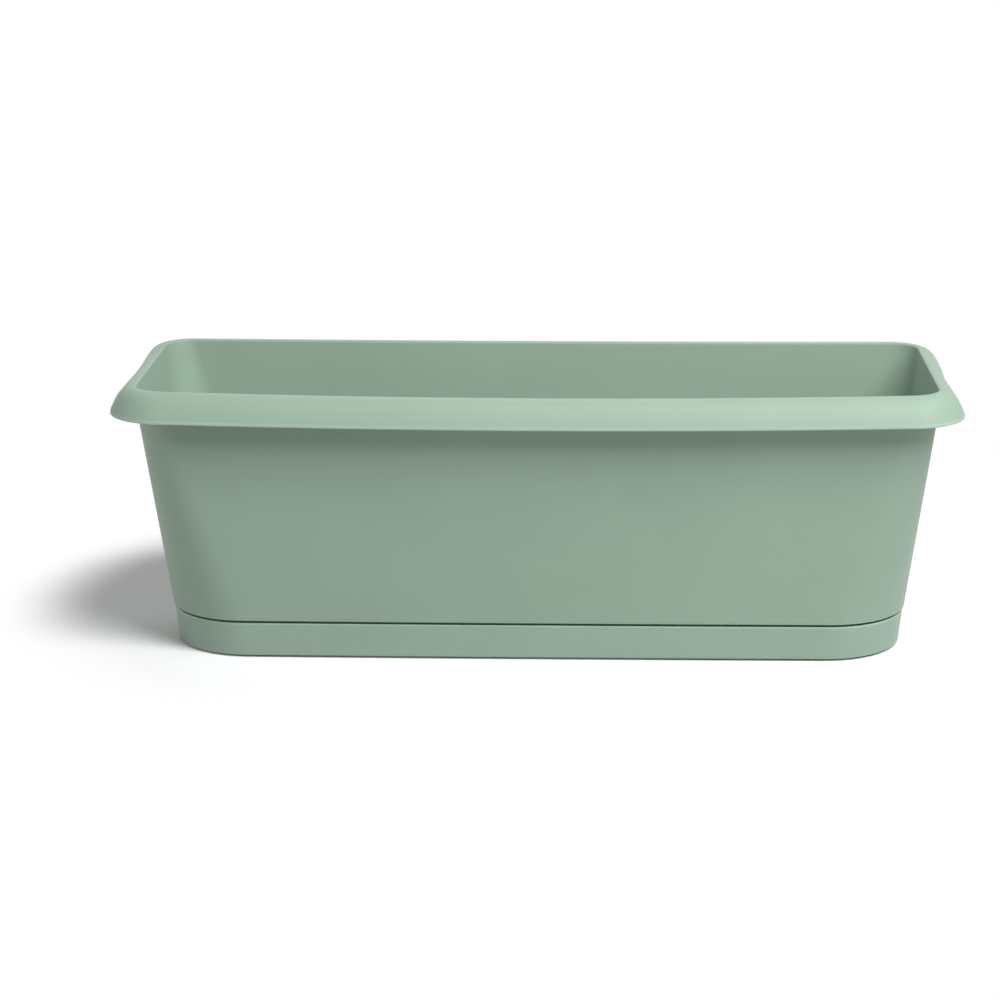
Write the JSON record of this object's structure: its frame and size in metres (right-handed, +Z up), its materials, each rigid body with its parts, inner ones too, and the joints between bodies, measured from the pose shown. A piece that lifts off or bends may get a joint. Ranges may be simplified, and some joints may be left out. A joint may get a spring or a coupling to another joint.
{
  "type": "trough planter",
  "caption": "Long rectangular planting trough with tapering walls and a rolled rim, nested in a flush drip tray that it lifts out of.",
  "frame": {"origin": "on the floor under the middle of the tray", "axes": "+X along the length, +Y from the front to the back, +Z up"},
  "size_m": [0.6002, 0.2302, 0.2],
  "materials": {
    "sage_plastic": "satin moulded, fine even grain"
  },
  "bodies": {
    "drip_tray": {"drip_tray": "sage_plastic"},
    "trough": {"trough": "sage_plastic"}
  },
  "joints": [
    {"name": "trough_lift", "type": "slide", "parent": "drip_tray", "child": "trough", "axis": [0, 0, 1], "range_m": [0, 0.06]}
  ]
}
